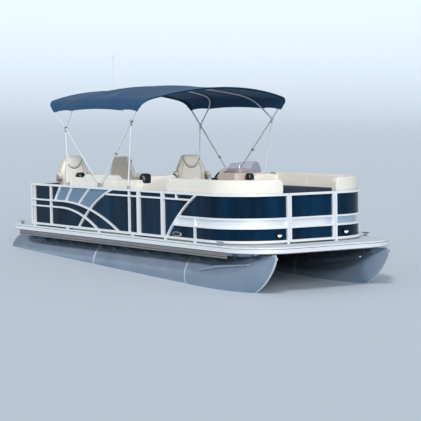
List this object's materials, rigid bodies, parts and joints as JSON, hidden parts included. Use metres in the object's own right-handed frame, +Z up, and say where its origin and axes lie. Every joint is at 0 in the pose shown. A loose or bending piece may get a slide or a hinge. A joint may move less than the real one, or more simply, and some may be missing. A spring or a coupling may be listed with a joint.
{
  "type": "pontoon boat",
  "caption": "Two-tube aluminium pontoon boat with a railed deck, lounges, a helm, a fabric shade top and an outboard stored tilted up.",
  "frame": {"origin": "middle of the boat's length and beam, at the keel line its tubes stand on", "axes": "+X forward to the bow, +Y to port, +Z up"},
  "size_m": [8.3684, 2.59, 3.5465],
  "materials": {
    "hull_aluminium": "mill finish",
    "frame_aluminium": "mill finish",
    "trim_aluminium": "polished",
    "skirt": "ribbed",
    "deck_carpet": "carpet over plywood",
    "rail_aluminium": "bright anodised",
    "panel_navy": "gloss navy",
    "seat_vinyl": "marine vinyl",
    "seat_base": "moulded",
    "chair_shell": "moulded",
    "pedestal": "satin",
    "console": "moulded",
    "black_plastic": "satin",
    "screen": "tinted",
    "bow_aluminium": "anodised",
    "fitting": "stainless",
    "canopy_fabric": "woven acrylic",
    "lamp": "white",
    "outboard_paint": "gloss black",
    "engine": "plain",
    "propeller": "painted"
  },
  "bodies": {
    "hull": {"bimini_canopy": "canopy_fabric", "bimini_fittings": "fitting", "bimini_inner_bows": "bow_aluminium", "bimini_legs": "bow_aluminium", "bimini_main_bows": "bow_aluminium", "chair_pedestals": "pedestal", "cleats": "fitting", "cross_members": "frame_aluminium", "deck": "deck_carpet", "deck_trim": "trim_aluminium", "docking_lights": "lamp", "fence_frame_port": "rail_aluminium", "fence_frame_stbd_aft": "rail_aluminium", "fence_frame_stbd_bow": "rail_aluminium", "fence_frame_stern": "rail_aluminium", "fence_panels": "panel_navy", "helm_console": "console", "light_pole": "lamp", "lounge_back_port_aft": "seat_vinyl", "lounge_back_port_bow": "seat_vinyl", "lounge_back_stbd_aft": "seat_vinyl", "lounge_back_stbd_bow": "seat_vinyl", "lounge_bases": "seat_base", "lounge_seat_port_aft": "seat_vinyl", "lounge_seat_port_bow": "seat_vinyl", "lounge_seat_stbd_aft": "seat_vinyl", "lounge_seat_stbd_bow": "seat_vinyl", "motor_pod": "frame_aluminium", "outboard_clamp": "outboard_paint", "side_skirts": "skirt", "throttle": "black_plastic", "tube_port": "hull_aluminium", "tube_stbd": "hull_aluminium", "windshield": "screen"},
    "side_gate": {"side_gate_frame": "rail_aluminium", "side_gate_panel": "panel_navy"},
    "bow_gate": {"bow_gate_frame": "rail_aluminium", "bow_gate_panel": "panel_navy"},
    "stern_gate": {"stern_gate_frame": "rail_aluminium", "stern_gate_panel": "panel_navy"},
    "helm_wheel": {"steering_wheel": "black_plastic"},
    "outboard_tilt": {"outboard_swivel": "outboard_paint"},
    "outboard_head": {"outboard_leg": "outboard_paint", "outboard_cowl": "outboard_paint", "outboard_engine": "engine"},
    "outboard_screw": {"outboard_propeller": "propeller"},
    "chair_helm": {"chair_helm_shell": "chair_shell", "chair_helm_cushions": "seat_vinyl"},
    "chair_companion": {"chair_companion_shell": "chair_shell", "chair_companion_cushions": "seat_vinyl"},
    "chair_aft": {"chair_aft_shell": "chair_shell", "chair_aft_cushions": "seat_vinyl"}
  },
  "joints": [
    {"name": "side_gate_hinge", "type": "hinge", "parent": "hull", "child": "side_gate", "pos_m": [1.09626, -1.183, 1.1415], "axis": [0, 0, 1], "range_deg": [0, 90]},
    {"name": "bow_gate_hinge", "type": "hinge", "parent": "hull", "child": "bow_gate", "pos_m": [3.64726, 0.386, 1.1415], "axis": [0, 0, -1], "range_deg": [0, 90]},
    {"name": "stern_gate_hinge", "type": "hinge", "parent": "hull", "child": "stern_gate", "pos_m": [-2.25474, 0.34, 1.1415], "axis": [0, 0, 1], "range_deg": [0, 90]},
    {"name": "wheel_turn", "type": "hinge", "parent": "hull", "child": "helm_wheel", "pos_m": [0.46626, 0.71, 1.5915], "axis": [-0.7071, 0, 0.7071], "range_deg": [-540, 540]},
    {"name": "outboard_tilt_pin", "type": "hinge", "parent": "hull", "child": "outboard_tilt", "pos_m": [-3.13374, 0, 0.7915], "axis": [0, 1, 0], "range_deg": [-62, 0]},
    {"name": "outboard_steer", "type": "hinge", "parent": "outboard_tilt", "child": "outboard_head", "pos_m": [-3.17834, 0, 0.87538], "axis": [0.8829, 0, 0.4695], "range_deg": [-30, 30]},
    {"name": "propeller_spin", "type": "hinge", "parent": "outboard_head", "child": "outboard_screw", "pos_m": [-3.94338, 0, 0.61017], "axis": [0.4695, 0, -0.8829], "continuous": true},
    {"name": "chair_helm_swivel", "type": "hinge", "parent": "hull", "child": "chair_helm", "pos_m": [-0.45374, 0.71, 1.1815], "axis": [0, 0, 1], "continuous": true},
    {"name": "chair_companion_swivel", "type": "hinge", "parent": "hull", "child": "chair_companion", "pos_m": [-0.72374, -0.24, 1.1815], "axis": [0, 0, 1], "continuous": true},
    {"name": "chair_aft_swivel", "type": "hinge", "parent": "hull", "child": "chair_aft", "pos_m": [-1.78374, -0.68, 1.1815], "axis": [0, 0, 1], "continuous": true}
  ],
  "couplings": [
    {"joint": "wheel_turn", "follows": "outboard_steer", "ratio": -18}
  ]
}
